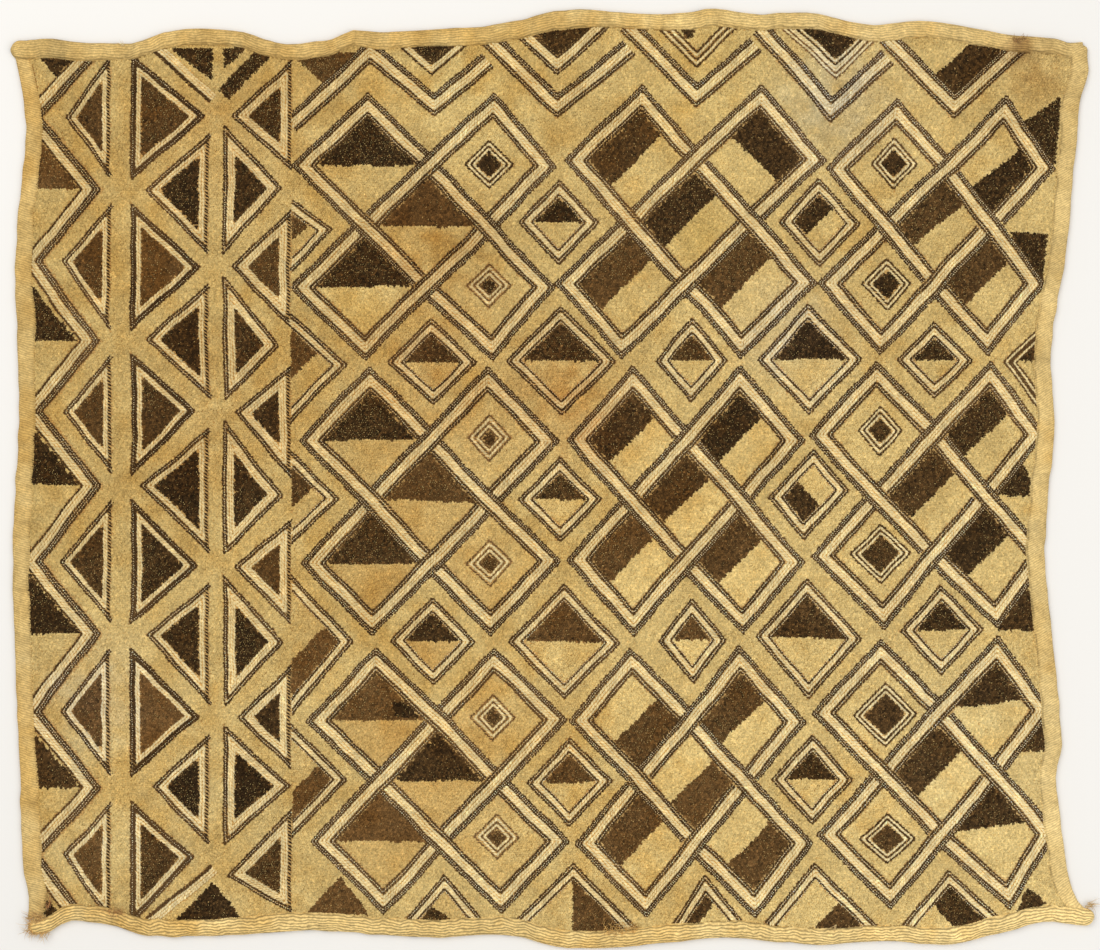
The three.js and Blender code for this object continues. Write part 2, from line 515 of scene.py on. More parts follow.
def draw_knot(chart, x, y, half_width, half_height, lean, right_reach, turn, sides, tones):
    """Five lozenges on a half-step lattice under four bands that pass over each other in turn.

    Each band starts under its neighbour, runs past the middle lozenge, turns round an outer one and ends
    under the next band. A crossing lies midway between the crossing before it and the band's outer corner.
    """

    def at(u, v):
        across = turn * u
        span = right_reach if across > KNOT_OUTER else half_width
        return np.array((x + across * span + v * lean, y + v * half_height))

    tops = (at(0.5, 1), at(-1, 0.5), at(-0.5, -1), at(1, -0.5))
    turns = (at(1, 0.5), at(-0.5, 1), at(-1, -0.5), at(0.5, -1))
    crossings = [sum(w * tops[(i + j) % 4] for j, w in enumerate(CROSSING_SHARES)) for i in range(4)]
    upper, left, lower, right = crossings
    for i in range(4):
        path = (crossings[(i + 1) % 4], tops[i], turns[i], crossings[(i + 3) % 4])
        rows = [(turn * distance, kind) for distance, kind in BROAD_BAND]
        chart.band(trimmed(path, BROAD_HALF), rows, BROAD_HALF, "field")
    cells = (
        (tops[1], turns[1], upper, left),
        (tops[0], turns[0], right, upper),
        (left, upper, right, lower),
        (turns[2], left, lower, tops[2]),
        (lower, right, tops[3], turns[3]),
    )
    order = (0, 1, 2, 3, 4) if turn > 0 else (1, 0, 2, 4, 3)
    names = sides.split()
    for cell, place in zip(cells, order, strict=True):
        inner = moved_sideways(anticlockwise(cell), BROAD_HALF, True)
        chart.field(inner, names[place], tones[place])


def draw_triangle(chart, base, tip, top, bottom, level, tone, ring, roped):
    """A ringed triangle of the border, its base upright. Roped ones have rope stitches along the base."""
    sides = np.array(((base, top), (tip, level), (base, bottom)))
    inward = 1 if tip > base else -1
    if roped:
        for distance, kind in DOUBLE_ROW:
            chart.rows.append((kind, moved_sideways(sides, -inward * distance, False), False, "border"))
        rope = base + inward * ROPE_PLACE
        ends = np.array(((rope, top - ROPE_END), (rope, bottom + ROPE_END)))
        chart.rows.append((ROPE, ends, False, "border"))
    inner = chart.ring(sides, ring, "border", DOUBLE_ROW[-1][0] if roped else 0.0)
    chart.field(inner, "all", tone, "border")


def draw_border(chart):
    """The border at the left: triangles between two upright bars, with a zigzag along the outer side."""
    for base, tips, levels, upper_room, lower_room, tip_levels, tones, *style in BORDER_TRIANGLES:
        for tip, top, bottom, level, tone in zip(tips, levels, levels[1:], tip_levels, tones, strict=False):
            if tone != "-":
                draw_triangle(chart, base, tip, top - upper_room, bottom + lower_room, level, tone, *style)
    for path in BORDER_ENDS:
        chart.band(path, END_BAND, END_HALF, "border")
    zigzag = []
    for near, far in zip(FIRST_BAR_LEVELS, OUTER_LEVELS, strict=False):
        zigzag += [(ZIGZAG_NEAR, near), (ZIGZAG_FAR, far)]
    zigzag.append((ZIGZAG_NEAR, FIRST_BAR_LEVELS[-1]))
    zigzag[0] = ZIGZAG_START
    for level, tone in zip(FIRST_BAR_LEVELS, ZIGZAG_TONES, strict=True):
        rise = (EDGE_FIELD_TIP - EDGE_FIELD_END) * ZIGZAG_SLOPE
        ends = ((EDGE_FIELD_END, level + rise), (EDGE_FIELD_END, level - rise))
        chart.field(((EDGE_FIELD_TIP, level), *ends), "top", tone, "border")
    chart.band(zigzag, ZIGZAG_BAND, BROAD_HALF, "border")


def draw_bits(chart, bits):
    """Dark polygons without an outline, each in the part of the cloth where its middle lies."""
    for corners, tone in bits:
        part = "field" if np.mean(corners, axis=0)[0] > BORDER_LINE else "border"
        chart.field(corners, "all", tone, part)


def draw_pattern():
    """The whole chart: bits without an outline first, then fields with rings, knots and bands."""
    chart = Chart()
    draw_bits(chart, DARK_BITS)
    for tip_x, tip_y, upper, lower, side, tone in HALF_LOZENGES:
        corners = ((tip_x, tip_y), (HALF_LOZENGE_END, upper), (HALF_LOZENGE_END, lower))
        chart.field(chart.ring(corners, "lozenge"), side, tone)
    for *shape, side, tone in LOZENGES:
        chart.field(chart.ring(lozenge(*shape), "lozenge"), side, tone)
    corners, side, tone = CUT_LOZENGE
    chart.field(chart.ring(corners, "split"), side, tone)
    for x, y, left, right, side, tone in STANDING_PEAKS:
        corners = ((x, y), (left, PEAK_FOOT), (right, PEAK_FOOT))
        chart.field(chart.ring(corners, "lozenge"), side, tone)
    for x, y, slope, ring, side, tone in HANGING_TIPS:
        run = HANGING_RISE / slope
        corners = ((x, y), (x + run, y + HANGING_RISE), (x - run, y + HANGING_RISE))
        chart.field(chart.ring(corners, ring), side, tone)
    for path in HANGING_BANDS:
        chart.band(path, BROAD_BAND, BROAD_HALF, "field")
    for knot in KNOTS:
        draw_knot(chart, *knot)
    for *shape, ring, tone in NESTS:
        chart.field(chart.ring(lozenge(*shape), ring), "all", tone)
    draw_border(chart)
    draw_bits(chart, INNER_BITS)
    return chart


# How far a row of stitches strays from its neighbours, and over what length, in millimetres.
ROW_STRAY = 0.22
ROW_WAVE = 8.0
ROW_SEED = SEED + 300
# Tooth of the line where dark pile meets gold, in millimetres.
TOOTH_PITCH = 1.9
TOOTH_DEPTH = 0.4
# Pile and stitches run this close to the cloth's outer edge, under the hem's inner side.
HIDDEN_ROOM = 9.0
# Distance of two rows of tufts and chance in a tuft's place, as shares of the pitch.
TUFT_ROWS = 0.866
TUFT_JITTER = 0.16


def pile_places(sizes):
    """Tufts on a staggered lattice with seeded jitter, in millimetres, kept off the hem."""
    rng = np.random.default_rng(SEED)
    pitch = sizes.tuft_pitch / MM
    low = np.array([SIDES["left"][:, 0].min(), SIDES["bottom"][:, 1].min()])
    high = np.array([SIDES["right"][:, 0].max(), SIDES["top"][:, 1].max()])
    rows = np.arange(low[1], high[1], pitch * TUFT_ROWS)
    columns = np.arange(low[0], high[0], pitch)
    x = columns[None, :] + 0.5 * pitch * (np.arange(len(rows)) % 2)[:, None]
    y = np.broadcast_to(rows[:, None], x.shape)
    places = np.stack([x, y], -1).reshape(-1, 2)
    places = places + rng.normal(0, TUFT_JITTER * pitch, places.shape)
    return places[edge_room(places) > HIDDEN_ROOM]


def sort_pile(chart, places):
    """For each tuft: is it dark, its tone from 0 to 1, is it stitched over, and is it inside an outline."""
    drawn = places - hand_drift(places)
    in_part = {"field": drawn[:, 0] > BORDER_LINE, "border": drawn[:, 0] <= BORDER_LINE}
    dark, celled = np.zeros((2, len(places)), bool)
    tone = np.zeros(len(places))
    for corners, side, field_tone, part in chart.fields:
        within = np.flatnonzero(inside(drawn, corners) & in_part[part])
        if side in ("all", "none"):
            dark[within] = side == "all"
        else:
            *way, start = DARK_SIDES[side]
            way = np.array(way) / np.linalg.norm(way)
            offset = drawn[within] - corners.mean(0)
            across, along = offset @ way, offset @ np.array((-way[1], way[0]))
            tooth = np.abs((along / TOOTH_PITCH) % 1.0 - 0.5) * 2 - 0.5
            dark[within] = across + TOOTH_DEPTH * tooth > start
        tone[within] = field_tone / BROWN_TONE
        celled[within] = True
    taken = np.zeros(len(places), bool)
    for corners, part in chart.covers:
        taken |= inside(drawn, corners) & in_part[part]
    return dark, tone, taken, celled


def add_mesh(name, points, faces, material, colours, bake_map=None, cloth_place=None):
    """Puts whole arrays into a mesh object at the origin. Points are in millimetres, faces in equal rows."""
    mesh = bpy.data.meshes.new(name)
    points = np.asarray(points, np.float32).reshape(-1, 3) * MM
    faces = np.asarray(faces, np.int32)
    mesh.vertices.add(len(points))
    mesh.vertices.foreach_set("co", points.ravel())
    mesh.loops.add(faces.size)
    mesh.loops.foreach_set("vertex_index", faces.ravel())
    mesh.polygons.add(len(faces))
    mesh.polygons.foreach_set("loop_start", np.arange(0, faces.size, faces.shape[1], dtype=np.int32))
    mesh.polygons.foreach_set("use_smooth", np.ones(len(faces), bool))
    mesh.update(calc_edges=True)
    if cloth_place is not None:
        layer = mesh.attributes.new("cloth_place", "FLOAT_VECTOR", "POINT")
        layer.data.foreach_set("vector", (np.asarray(cloth_place) * MM).astype(np.float32).ravel())
    layer = mesh.attributes.new("thread_colour", "FLOAT_COLOR", "POINT")
    filled = np.column_stack([colours, np.ones(len(colours))]).astype(np.float32)
    layer.data.foreach_set("color", filled.ravel())
    if bake_map is not None:
        uv = mesh.uv_layers.new(name="OFBake")
        uv.data.foreach_set("uv", bake_map[faces.ravel()].astype(np.float32).ravel())
    mesh.validate()
    piece = bpy.data.objects.new(name, mesh)
    bpy.context.scene.collection.objects.link(piece)
    piece.data.materials.append(material)
    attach(piece, BODY)
    return piece


def shelf_map(count, corners):
    """A map with a small square for each of many like shapes. corners are a shape's points in its square."""
    columns = int(np.ceil(np.sqrt(count)))
    cell = np.stack([np.arange(count) % columns, np.arange(count) // columns], 1)
    return ((cell[:, None, :] + np.asarray(corners)[None]) / columns).reshape(-1, 2)


def repeated(faces, size, count):
    """Faces of a shape with size points, repeated count times, each copy with its own points."""
    shift = np.arange(count) * size
    return (np.asarray(faces)[None] + shift[:, None, None]).reshape(-1, 3)


# A tuft: three feet about a tip. Its foot's radius and its lean are in pitches, its tip's chance in
# millimetres.
TUFT_TURNS = np.radians((90, 210, 330))
TUFT_FACES = ((0, 1, 3), (1, 2, 3), (2, 0, 3))
TUFT_SHELF = ((0.5, 0.8), (0.24, 0.35), (0.76, 0.35), (0.5, 0.5))
TUFT_FOOT = (1.0, 1.35)
TUFT_LEAN = 0.2
TUFT_TIP = (-0.3, 0.25)


def tuft_mesh(places, sizes, seed):
    """Tufts as three-sided cones: each leans and turns by chance, and its foot is wider than the pitch."""
    rng = np.random.default_rng(seed)
    count = len(places)
    pitch = sizes.tuft_pitch / MM
    turn = rng.uniform(0, 2 * np.pi, count)[:, None] + TUFT_TURNS[None]
    radius = pitch * rng.uniform(*TUFT_FOOT, count)[:, None]
    foot_x = places[:, :1] + radius * np.cos(turn)
    foot_y = places[:, 1:] + radius * np.sin(turn)
    foot_z = np.full(turn.shape, sizes.ground_top / MM)
    lean = rng.normal(0, TUFT_LEAN * pitch, (count, 2))
    tip_z = sizes.pile_top / MM + rng.uniform(*TUFT_TIP, count)
    feet = np.stack([foot_x, foot_y, foot_z], -1)
    tips = np.column_stack([places + lean, tip_z])[:, None, :]
    points = np.concatenate([feet, tips], 1).reshape(-1, 3)
    return points, repeated(TUFT_FACES, len(TUFT_SHELF), count)


# A stitch: two ends, two sides and a short ridge, as shares of its length, width and height.
STITCH_SHAPE = np.array(
    ((-0.5, 0, 0), (0.5, 0, 0), (0.08, 0.5, 0), (-0.08, -0.5, 0), (-0.2, 0, 1), (0.2, 0, 1)), float
)
STITCH_FACES = ((1, 2, 5), (2, 4, 5), (2, 0, 4), (0, 3, 4), (3, 5, 4), (3, 1, 5))
STITCH_SHELF = ((0.2, 0.5), (0.8, 0.5), (0.5, 0.75), (0.5, 0.25), (0.4, 0.5), (0.6, 0.5))

# Kinds of stitch. Columns: length and width in millimetres, slant in degrees, share of the row's height,
# distance between two stitches.
STITCH_KINDS = {
    DARK: (3.3, 1.6, 17.0, 0.97, 2.1),
    BROWN: (3.0, 1.3, 17.0, 0.92, 2.0),
    CREAM: (3.7, 1.6, 15.0, 1.05, 2.0),
    FLECK: (1.0, 0.78, -25.0, 1.12, 1.3),
    ROPE: (3.4, 1.3, 48.0, 1.06, 1.9),
    HAIR: (1.3, 0.64, 0.0, 1.37, 1.0),
}
# Chance in each stitch: turn in radians, shares of its length and width, then height and place in
# millimetres.
STITCH_TURN = 0.09
STITCH_LENGTHS = (0.88, 1.1)
STITCH_WIDTHS = (0.88, 1.12)
STITCH_HEIGHTS = (-0.12, 0.12)
STITCH_STRAY = 0.1
# How deep a stitch's foot lies in the ground.
STITCH_DEPTH = 0.1


def row_points(path, closed, pitch):
    """Evenly spaced points along each straight side of a path, with the side's heading."""
    corners = np.vstack([path, path[:1]]) if closed else path
    places, headings = [], []
    for here, there in zip(corners, corners[1:], strict=False):
        way = there - here
        count = max(1, int(round(np.linalg.norm(way) / pitch)))
        share = (np.arange(count) + 0.5) / count
        places.append(here + share[:, None] * way)
        headings.append(np.full(count, np.arctan2(way[1], way[0])))
    return np.concatenate(places), np.concatenate(headings)


def stitch_places(chart, kind):
    """Places and headings of all stitches of a kind, kept to their part of the cloth and off the hem."""
    places, headings = [], []
    pitch = STITCH_KINDS[kind][-1]
    for number, (row_kind, path, closed, part) in enumerate(chart.rows):
        if row_kind != kind:
            continue
        spots, heading = row_points(path, closed, pitch)
        aside = np.stack([-np.sin(heading), np.cos(heading)], 1)
        spots = spots + ROW_STRAY * soft_noise(spots, ROW_WAVE, ROW_SEED + number)[:, None] * aside
        kept = (spots[:, 0] > BORDER_LINE) == (part == "field")
        places.append(spots[kept])
        headings.append(heading[kept])
    places, headings = np.concatenate(places), np.concatenate(headings)
    places = places + hand_drift(places)
    kept = edge_room(places) > HIDDEN_ROOM
    return places[kept], headings[kept]


def stitch_mesh(places, headings, kind, sizes, seed):
    """Stitches as low lens-shaped ridges, each slanted to its row, with small seeded differences."""
    rng = np.random.default_rng(seed)
    count = len(places)
    length, width, slant, height, _ = STITCH_KINDS[kind]
    turn = headings + np.radians(slant) + rng.normal(0, STITCH_TURN, count)
    long_size = length * rng.uniform(*STITCH_LENGTHS, count)
    wide_size = width * rng.uniform(*STITCH_WIDTHS, count)
    low = sizes.ground_top / MM - STITCH_DEPTH
    rise = (sizes.stitch_top / MM) * height + rng.uniform(*STITCH_HEIGHTS, count) - low
    along = STITCH_SHAPE[None, :, 0] * long_size[:, None]
    across = STITCH_SHAPE[None, :, 1] * wide_size[:, None]
    cosine, sine = np.cos(turn)[:, None], np.sin(turn)[:, None]
    centre = places + rng.normal(0, STITCH_STRAY, places.shape)
    x = centre[:, :1] + along * cosine - across * sine
    y = centre[:, 1:] + along * sine + across * cosine
    z = low + STITCH_SHAPE[None, :, 2] * rise[:, None]
    return np.stack([x, y, z], -1).reshape(-1, 3), repeated(STITCH_FACES, len(STITCH_SHAPE), count)


def shaded(base, count, rng, spread):
    """A colour for each of many threads: the base made lighter or darker by chance."""
    light = np.exp(rng.normal(0, spread, count))[:, None]
    return np.clip(np.asarray(base)[None] * light, 0, 1)


# Old patches on the cloth, as they look on undyed raffia. Columns: x, y, reach, strength, colour in screen
# values.
UNDYED = (228, 196, 128)
PATCHES = (
    (266.0, 247.0, 9.0, 0.5, (140, 100, 54)),
    (275.0, 231.0, 17.0, 0.45, (176, 130, 66)),
    (135.0, 85.0, 30.0, 0.4, (226, 204, 158)),
    (158.0, 216.0, 30.0, 0.5, (214, 198, 160)),
    (-261.0, -126.0, 30.0, 0.45, (226, 202, 154)),
    (12.8, 34.0, 30.0, 0.4, (206, 152, 76)),
    (5.0, 60.0, 22.0, 0.5, (196, 146, 70)),
    (-64.0, 60.0, 44.0, 0.4, (206, 156, 82)),
    (-67.0, 134.0, 32.0, 0.65, (200, 154, 80)),
    (-190.0, 190.0, 40.0, 0.3, (206, 160, 88)),
    (-190.0, 40.0, 50.0, 0.35, (200, 156, 84)),
    (95.0, 225.0, 55.0, 0.3, (244, 214, 140)),
    (-235.0, -200.0, 70.0, 0.35, (232, 206, 146)),
    (232.0, -150.0, 60.0, 0.4, (240, 214, 152)),
    (-45.0, 222.0, 34.0, 0.5, (246, 218, 148)),
)


# Age of all threads. Light and stain have a mean, a change for each millimetre along x and y, and soft
# noises with strength, wavelength and seed.
LIGHT_MEAN = 1.02
LIGHT_SLOPE = np.array((0.07 / 300, -0.07 / 260))
LIGHT_NOISES = ((0.06, 42.0, 5), (0.08, 13.0, 6), (0.07, 4.5, 8))
STAIN_MEAN = 0.12
STAIN_SLOPE = np.array((-0.2 / 300, 0))
STAIN_NOISES = ((0.4, 60.0, 7), (0.6, 15.0, 9), (0.35, 6.0, 11))
PATCH_NOISES = ((0.6, 6.0, 10),)
# How strongly light and stain work on red, green and blue.
LIGHT_POWERS = np.array((0.8, 1.0, 1.4))
STAIN_SHARES = np.array((0.08, 0.18, 0.36))


def hill(places, x, y, reach_x, reach_y):
    """A soft bell-shaped hill: one at its middle, and less than a half from its reach on."""
    return np.exp(-(((places - (x, y)) / (reach_x, reach_y)) ** 2).sum(1))


def aged(colours, places, take=1.0):
    """Mottled colour: soft noises in light, paler to the lower right, orange stains, then the old patches.

    take is the share of the orange stain that the threads take up.
    """
    light = LIGHT_MEAN + places @ LIGHT_SLOPE + noise_sum(places, LIGHT_NOISES)
    stain = STAIN_MEAN + places @ STAIN_SLOPE + noise_sum(places, STAIN_NOISES)
    stain = take * np.clip(stain, 0, 1)[:, None]
    mixed = colours * light[:, None] ** LIGHT_POWERS * (1 - stain * STAIN_SHARES)
    broken = 1 + noise_sum(places, PATCH_NOISES)
    for x, y, reach, strength, screen in PATCHES:
        near = strength * broken * hill(places, x, y, reach, reach)
        change = np.array(linear(*screen)) / np.array(linear(*UNDYED)) - 1
        mixed = mixed * (1 + near[:, None] * change)
    return np.clip(mixed, 0, 1)


# Where gold pile inside outlines differs from the pile between them. Columns: x, y, reach along x and y,
# then how much its red, green and blue light grow.
CELL_LIGHTS = (
    (85.0, -60.0, 80.0, 170.0, 0.16, 0.17, 0.18),
    (255.0, -180.0, 60.0, 70.0, 0.1, 0.11, 0.12),
    (-80.0, -120.0, 55.0, 130.0, -0.09, -0.2, -0.34),
    (-107.0, 102.0, 26.0, 20.0, 0.2, 0.28, 0.4),
    (85.0, 139.0, 18.0, 18.0, -0.12, -0.16, -0.3),
)


def cell_light(places):
    """Light of gold pile inside outlines: one and a soft hill for each row of the table."""
    light = np.ones((len(places), 3))
    for *place, red, green, blue in CELL_LIGHTS:
        light += hill(places, *place)[:, None] * np.array((red, green, blue))
    return light


def add_node(tree, kind, inputs=None, **settings):
    """A shader node with its settings, then its inputs, each a value or the socket that it comes from."""
    node = tree.nodes.new(kind)
    for name, value in settings.items():
        setattr(node, name, value)
    for name, value in (inputs or {}).items():
        if isinstance(value, bpy.types.NodeSocket):
            tree.links.new(value, node.inputs[name])
        else:
            node.inputs[name].default_value = value
    return node


def math_node(tree, operation, *values):
    """The output of a maths node. Each value is a number or the socket that it comes from."""
    return add_node(tree, "ShaderNodeMath", dict(enumerate(values)), operation=operation).outputs[0]


def scaled(tree, vector, factor):
    """A colour or place from one socket, multiplied by the number from another."""
    return add_node(tree, "ShaderNodeVectorMath", {0: vector, "Scale": factor}, operation="SCALE").outputs[0]


def new_group(name, inputs, outputs):
    """A shader group with its two ends. Each socket has its first number, or None if it is a colour."""
    group = bpy.data.node_groups.new(name, "ShaderNodeTree")
    for way, sockets in (("INPUT", inputs), ("OUTPUT", outputs)):
        for label, value in sockets.items():
            kind = "NodeSocketColor" if value is None else "NodeSocketFloat"
            socket = group.interface.new_socket(label, in_out=way, socket_type=kind)
            if value is not None:
                socket.default_value = value
    return group, group.nodes.new("NodeGroupInput"), group.nodes.new("NodeGroupOutput")


# Detail and roughness of the fibres' noise, and its mean.
FIBRE_DETAIL = 3.0
FIBRE_ROUGHNESS = 0.6
FIBRE_MEAN = 0.5


def fibre_group():
    """Shader group: fine fibres as noise in Object coordinates, for colour and bump."""
    group = bpy.data.node_groups.get("Raffia fibre")
    if group:
        return group
    inputs = {"Colour": None, "Scale": 900.0, "Contrast": 0.2}
    group, start, end = new_group("Raffia fibre", inputs, {"Colour": None, "Height": 0.0})
    looks = {
        "Vector": add_node(group, "ShaderNodeTexCoord").outputs["Object"],
        "Scale": start.outputs["Scale"],
        "Detail": FIBRE_DETAIL,
        "Roughness": FIBRE_ROUGHNESS,
    }
    height = add_node(group, "ShaderNodeTexNoise", looks).outputs["Fac"]
    centred = math_node(group, "SUBTRACT", height, FIBRE_MEAN)
    strength = math_node(group, "MULTIPLY_ADD", centred, start.outputs["Contrast"], 1.0)
    group.links.new(scaled(group, start.outputs["Colour"], strength), end.inputs["Colour"])
    group.links.new(height, end.inputs["Height"])
    return group


def raffia_material(name, roughness, specular):
    """A new material with its shader and the piece's own thread colours."""
    material = bpy.data.materials.new(name)
    material.use_nodes = True
    tree = material.node_tree
    shader = tree.nodes["Principled BSDF"]
    shader.inputs["Roughness"].default_value = roughness
    shader.inputs["Specular IOR Level"].default_value = specular
    thread = add_node(tree, "ShaderNodeAttribute", attribute_name="thread_colour")
    return material, shader, thread.outputs["Color"]


def add_fibres(tree, shader, colour, scale, contrast):
    """Breaks a colour up by fibres and gives it to the shader. Gives back the fibres' height."""
    inputs = {"Colour": colour, "Scale": scale, "Contrast": contrast}
    fibres = add_node(tree, "ShaderNodeGroup", inputs, node_tree=fibre_group())
    tree.links.new(fibres.outputs["Colour"], shader.inputs["Base Color"])
    return fibres.outputs["Height"]


def add_bump(tree, shader, height, strength, distance):
    """Raises the shader's normal by a height."""
    relief = add_node(tree, "ShaderNodeBump", {"Strength": strength, "Distance": distance, "Height": height})
    tree.links.new(relief.outputs["Normal"], shader.inputs["Normal"])


# Looks of threads. Columns: roughness, scale and contrast of the fibres, bump, sheen.
THREAD_LOOKS = {
    "Stitch thread": (0.75, 1500.0, 0.3, 0.3, 0.06),
    "Gold cut pile": (0.9, 850.0, 1.3, 0.5, 0.08),
    "Dark cut pile": (0.9, 850.0, 1.2, 0.5, 0.02),
    "Loose fibre": (0.8, 1500.0, 0.3, 0.2, 0.1),
}
THREAD_SPECULAR = 0.1
THREAD_RELIEF = 0.2 * MM
SHEEN_ROUGHNESS = 0.5


def thread_material(name):
    """Raffia thread: the piece's thread colours broken up by fibres, with a fine bump and a little sheen."""
    material = bpy.data.materials.get(name)
    if material:
        return material
    roughness, scale, contrast, bump, sheen = THREAD_LOOKS[name]
    material, shader, colour = raffia_material(name, roughness, THREAD_SPECULAR)
    shader.inputs["Sheen Weight"].default_value = sheen
    shader.inputs["Sheen Roughness"].default_value = SHEEN_ROUGHNESS
    tree = material.node_tree
    add_bump(tree, shader, add_fibres(tree, shader, colour, scale, contrast), bump, THREAD_RELIEF)
    return material


# Scale and detail of the noise by which threads wander, how high a warp thread stays under the weft and how
# much it gains over it, and how far the weft dips under the warp.
WANDER_SCALE = 130.0
WANDER_DETAIL = 3.0
WARP_UNDER = 0.4
WARP_GAIN = 0.6
WEFT_DIP = -0.35


def weave_group():
    """Shader group: plain weave at the piece's own cloth places, with threads that wander a little.

    Each thread is a half wave across its width. Where the numbers of the two threads add up to an even one
    the warp lies on top, and otherwise the weft.
    """
    group = bpy.data.node_groups.get("Plain weave")
    if group:
        return group
    inputs = {"Warp": 830.0, "Weft": 760.0, "Warp share": 1.0, "Wander": 0.002}
    group, start, end = new_group("Plain weave", inputs, {"Height": 0.0})
    share = start.outputs["Warp share"]
    place = add_node(group, "ShaderNodeAttribute", attribute_name="cloth_place").outputs["Vector"]
    looks = {"Vector": place, "Scale": WANDER_SCALE, "Detail": WANDER_DETAIL}
    noise = add_node(group, "ShaderNodeTexNoise", looks).outputs["Color"]
    stray = scaled(group, noise, start.outputs["Wander"])
    moved = add_node(group, "ShaderNodeVectorMath", {0: place, 1: stray}, operation="ADD").outputs[0]
    parts = add_node(group, "ShaderNodeSeparateXYZ", {0: moved})
    ridges, numbers = [], []
    for axis, count in (("X", "Warp"), ("Y", "Weft")):
        threads = math_node(group, "MULTIPLY", parts.outputs[axis], start.outputs[count])
        wave = math_node(group, "SINE", math_node(group, "MULTIPLY", threads, np.pi))
        ridges.append(math_node(group, "ABSOLUTE", wave))
        numbers.append(math_node(group, "FLOOR", threads))
    odd = math_node(group, "FLOORED_MODULO", math_node(group, "ADD", *numbers), 2.0)
    even = math_node(group, "SUBTRACT", 1.0, odd)
    warp_level = math_node(group, "MULTIPLY_ADD", even, WARP_GAIN, WARP_UNDER)
    warp = math_node(group, "MULTIPLY", math_node(group, "MULTIPLY", ridges[0], warp_level), share)
    weft_level = math_node(group, "MULTIPLY_ADD", math_node(group, "MULTIPLY", even, share), WEFT_DIP, 1.0)
    weft = math_node(group, "MULTIPLY", ridges[1], weft_level)
    group.links.new(math_node(group, "MAXIMUM", warp, weft), end.inputs["Height"])
    return group


# Looks of woven raffia. Columns: share of the warp, weft threads in a metre, how dark the gaps between
# threads are from 0 to 1 (painted shade, with painted light on the threads' crowns), bump, how far the
# threads stray in metres.
WOVEN_LOOKS = {
    "Woven raffia": (1.0, 760.0, 0.75, 0.7, 0.002),
    "Fine hem raffia": (0.4, 740.0, 0.38, 0.7, 0.003),
    "Smooth hem raffia": (0.5, 720.0, 0.5, 0.8, 0.0035),
    "Lined hem raffia": (0.2, 620.0, 0.85, 0.9, 0.0045),
}
WOVEN_ROUGHNESS = 0.85
WOVEN_SPECULAR = 0.15
WOVEN_FIBRES = (600.0, 1.1)
WOVEN_RELIEF = 0.35 * MM
# Height of the weave at which its colour stays as it is: painted shade below it, painted light above.
WEAVE_MEAN = 0.7


def woven_material(name):
    """Undyed woven raffia: the piece's thread colours over plain weave and fibres, in colour and bump."""
    material = bpy.data.materials.get(name)
    if material:
        return material
    warp_share, weft, weave_painted_light_and_shade, bump, wander = WOVEN_LOOKS[name]
    material, shader, colour = raffia_material(name, WOVEN_ROUGHNESS, WOVEN_SPECULAR)
    tree = material.node_tree
    inputs = {"Warp share": warp_share, "Weft": weft, "Wander": wander}
    height = add_node(tree, "ShaderNodeGroup", inputs, node_tree=weave_group()).outputs["Height"]
    # Painted light and shade from the weave's height: lighter on the threads' crowns, darker in the gaps.
    light = math_node(tree, "MULTIPLY_ADD", height, weave_painted_light_and_shade, 1.0 - WEAVE_MEAN * weave_painted_light_and_shade)
    add_fibres(tree, shader, scaled(tree, colour, light), *WOVEN_FIBRES)
    add_bump(tree, shader, height, bump, WOVEN_RELIEF)
    return material


def grid_faces(rows, columns, wrap=False):
    """Quads of a grid of points in row order. wrap joins the last column to the first."""
    here = np.arange(rows - 1)[:, None] * columns
    ahead = here + columns
    column = np.arange(columns if wrap else columns - 1)[None]
    after = (column + 1) % columns
    corners = (here + column, here + after, ahead + after, ahead + column)
    return np.stack(np.broadcast_arrays(*corners), -1).reshape(-1, 4)


# The ground's edge lies this far inside the cloth's outer edge, under the hems.
GROUND_INSET = 4.0
GROUND_COLUMNS = 90
GROUND_ROWS = 78
CORNER_ROUNDS = 30


def inset_corner(x, y, across, along):
    """The corner where two sides moved inwards meet, found by going to and fro until it settles."""
    for _ in range(CORNER_ROUNDS):
        x = edge_at(across, y) + (GROUND_INSET if across == "left" else -GROUND_INSET)
        y = edge_at(along, x) + (GROUND_INSET if along == "bottom" else -GROUND_INSET)
    return np.array((float(x), float(y)))


def ground_plan(columns, rows):
    """The ground's points: a patch between four inset edges, each side's course fading to the other's."""
    corners = {
        (along, across): inset_corner(0.0, 0.0, across, along)
        for along in ("bottom", "top")
        for across in ("left", "right")
    }
    u, v = np.linspace(0, 1, columns)[None, :, None], np.linspace(0, 1, rows)[:, None, None]
    lengthwise, straight, upright = {}, {}, {}
    for along, way in (("bottom", 1), ("top", -1)):
        straight[along] = between(corners[along, "left"], corners[along, "right"], u)
        x = straight[along][..., :1]
        lengthwise[along] = np.concatenate([x, edge_at(along, x) + way * GROUND_INSET], -1)
    for across, way in (("left", 1), ("right", -1)):
        y = between(corners["bottom", across][1], corners["top", across][1], v)
        upright[across] = np.concatenate([edge_at(across, y) + way * GROUND_INSET, y], -1)
    plan = between(lengthwise["bottom"], lengthwise["top"], v) + between(upright["left"], upright["right"], u)
    return plan - between(straight["bottom"], straight["top"], v)


